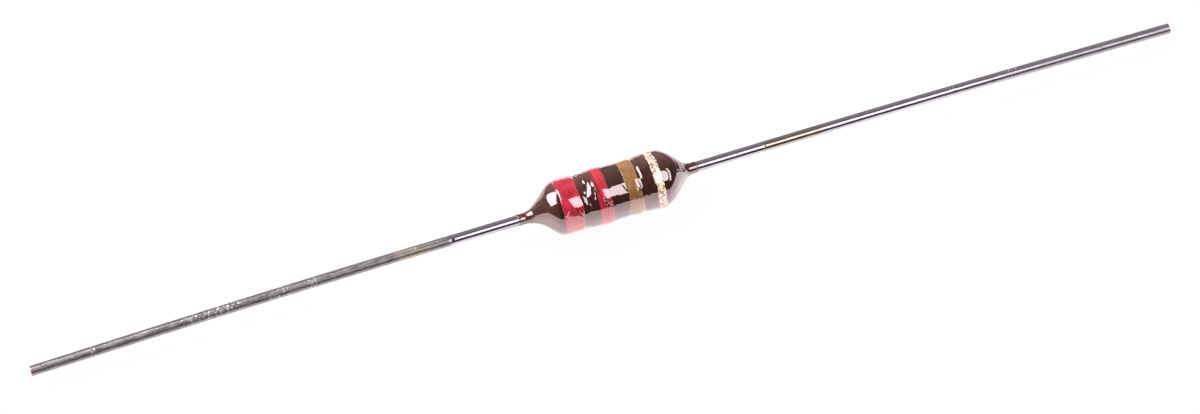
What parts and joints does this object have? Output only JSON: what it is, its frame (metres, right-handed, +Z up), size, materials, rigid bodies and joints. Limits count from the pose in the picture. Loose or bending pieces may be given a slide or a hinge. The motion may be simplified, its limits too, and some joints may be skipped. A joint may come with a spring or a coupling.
{
  "type": "axial inductor",
  "caption": "Axial-lead inductor: dipped brown lacquer body with coloured rings, spindle shaped, and a thin tinned wire lead out of each end.",
  "frame": {"origin": "centre of the whole part's box along X and Y, on the plane that the body lies on", "axes": "+X along the body towards the gold band's end, +Y across it, +Z up from the surface it lies on; the leads droop towards -Z"},
  "size_m": [0.068, 0.0034, 0.0034],
  "materials": {
    "tinned_copper": "satin",
    "ferrite": "matte",
    "adhesive": "satin",
    "magnet_wire": "gloss",
    "solder": "gloss",
    "brown_lacquer": "gloss",
    "red_paint": "satin",
    "light_brown_paint": "satin",
    "gold_paint": "satin"
  },
  "bodies": {
    "root": {"lead_left": "tinned_copper", "lead_right": "tinned_copper", "ferrite_core": "ferrite", "glue_left": "adhesive", "glue_right": "adhesive", "winding": "magnet_wire", "solder_left": "solder", "solder_right": "solder", "coating": "brown_lacquer", "band_red_first": "red_paint", "band_red_second": "red_paint", "band_brown": "light_brown_paint", "band_gold": "gold_paint"}
  },
  "joints": []
}
